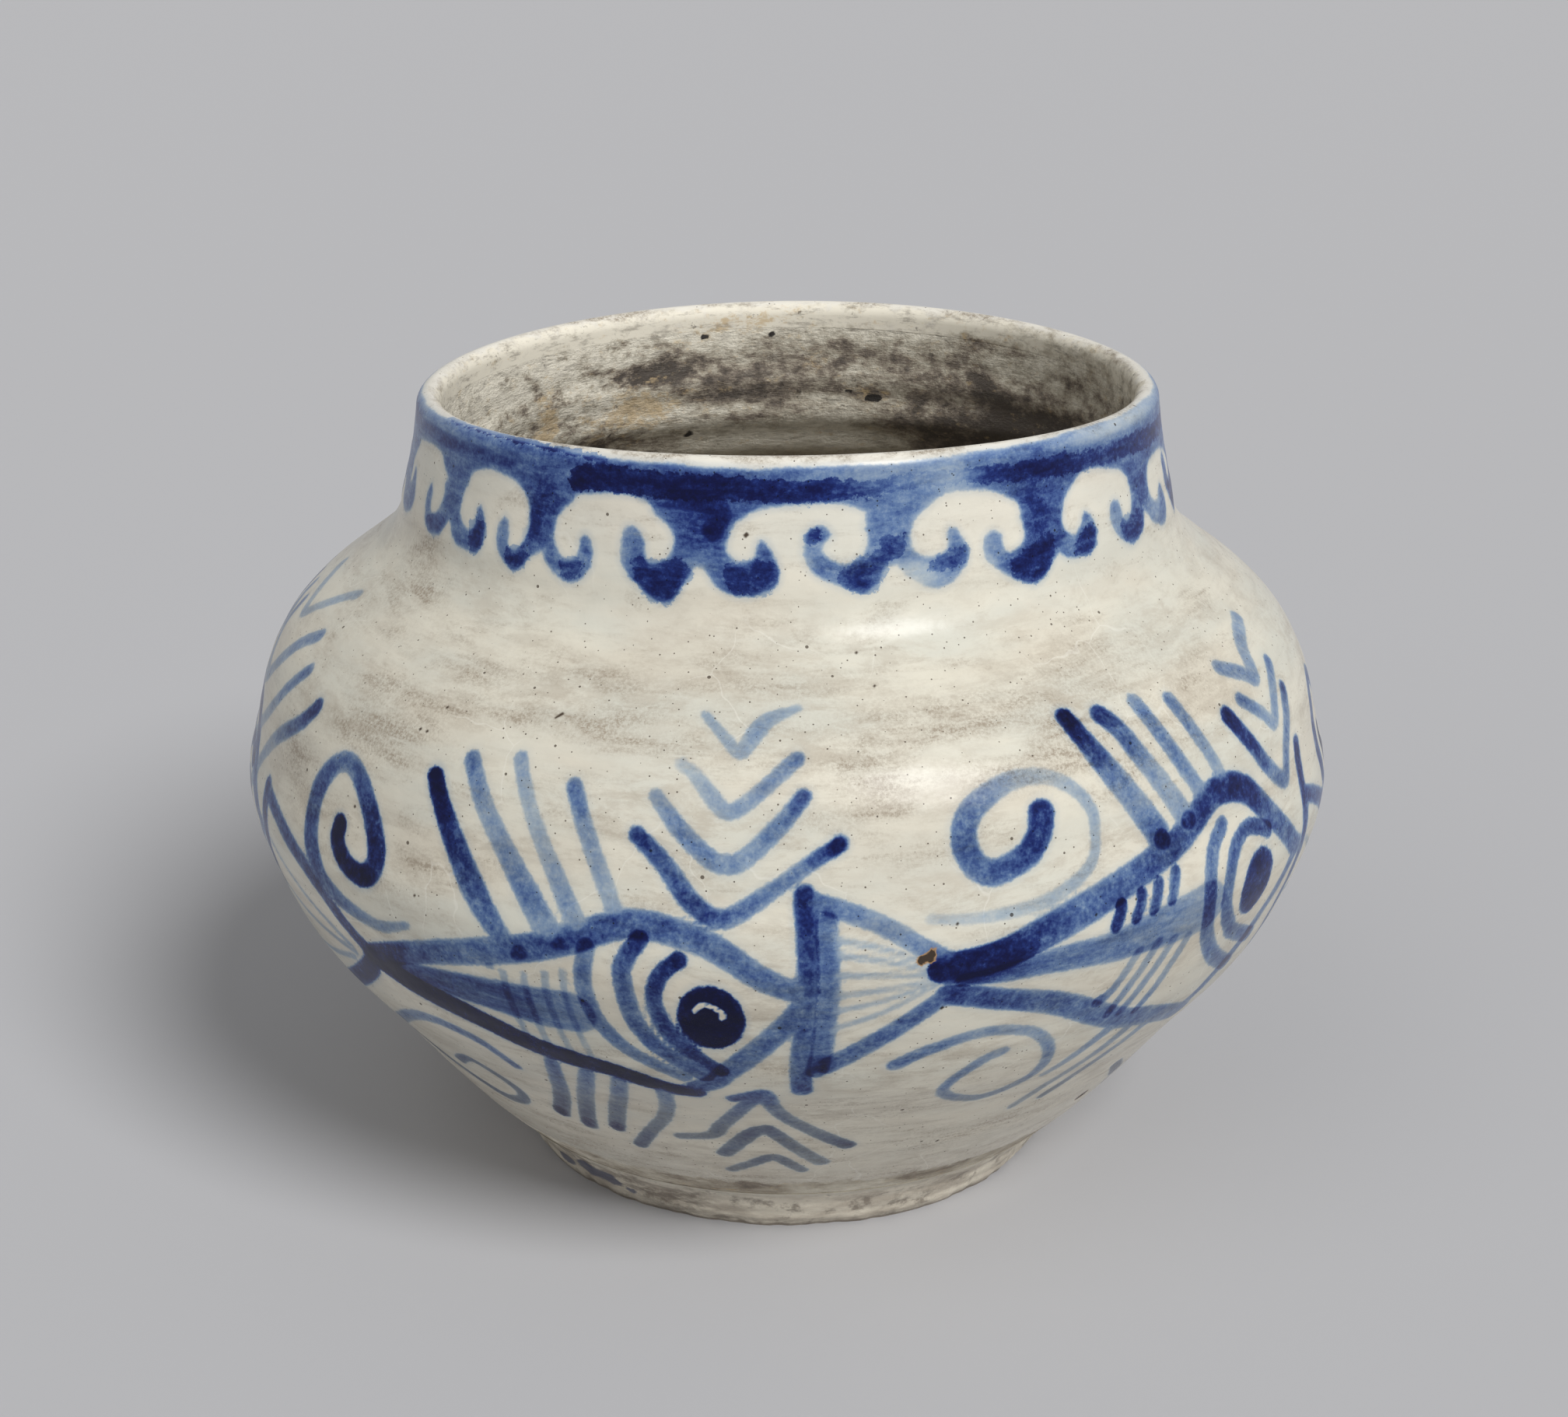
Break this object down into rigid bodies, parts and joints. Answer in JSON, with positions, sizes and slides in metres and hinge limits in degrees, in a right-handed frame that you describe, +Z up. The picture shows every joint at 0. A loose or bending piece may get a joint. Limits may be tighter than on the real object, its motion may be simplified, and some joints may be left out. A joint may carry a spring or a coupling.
{
  "type": "pottery jar",
  "caption": "Squat round-bellied pottery jar with a short neck, a rounded lip and a turned foot, glazed ivory with brush-painted blue bands, scrolls and fish.",
  "frame": {"origin": "middle of the foot's underside, on the surface the jar stands on", "axes": "+Z up along the jar's turning axis, out of the mouth; the side seen in the picture faces -Y"},
  "size_m": [0.18, 0.18, 0.1325],
  "materials": {
    "foot_clay": "thinly washed buff clay on the foot band, stained brown, semi-matt",
    "bare_clay": "bare fired buff clay, matt",
    "joint_slip": "fired slip at the luted joins, matt",
    "painted_glaze": "glossy warm ivory glaze over brush-painted cobalt blue, with pinholes, iron specks and grey-brown smudges",
    "inner_wash": "thin matt wash, mottled beige, grey and brown"
  },
  "bodies": {
    "root": {"foot_ring": "foot_clay", "base_floor": "bare_clay", "lower_body": "bare_clay", "belly_joint_slip": "joint_slip", "upper_body": "bare_clay", "neck_joint_slip": "joint_slip", "neck_collar": "bare_clay", "outer_glaze": "painted_glaze", "inner_wash": "inner_wash"}
  },
  "joints": []
}
